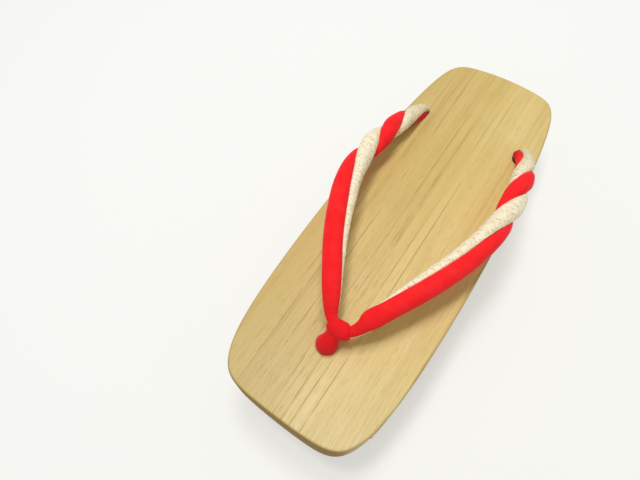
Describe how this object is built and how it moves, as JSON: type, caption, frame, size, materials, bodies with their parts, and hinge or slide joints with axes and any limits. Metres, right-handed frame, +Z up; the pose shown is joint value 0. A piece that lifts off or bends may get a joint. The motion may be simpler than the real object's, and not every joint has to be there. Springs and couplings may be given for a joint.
{
  "type": "geta sandal",
  "caption": "Wooden thong sandal: a round-cornered foot plate carved with a front and a rear block, and a padded V strap of red velvet and cream brocade, twisted towards the heel.",
  "frame": {"origin": "middle of the platform's outline, on the floor that both blocks stand on", "axes": "+Z up, +Y from the toe to the heel, +X towards the right side seen from above with the toe nearest"},
  "size_m": [0.0908, 0.2374, 0.0691],
  "materials": {
    "wood": "bare planed paulownia, straight grain along the foot, satin",
    "velvet": "bright red cotton velvet, soft nap",
    "brocade": "cream and pale gold crinkled brocade, slight sheen",
    "cord": "undyed twisted cotton cord"
  },
  "bodies": {
    "root": {"platform": "wood", "strap_velvet": "velvet", "strap_brocade": "brocade", "toe_thong": "velvet", "front_knot": "cord", "rear_knot_left": "cord", "rear_knot_right": "cord"}
  },
  "joints": []
}
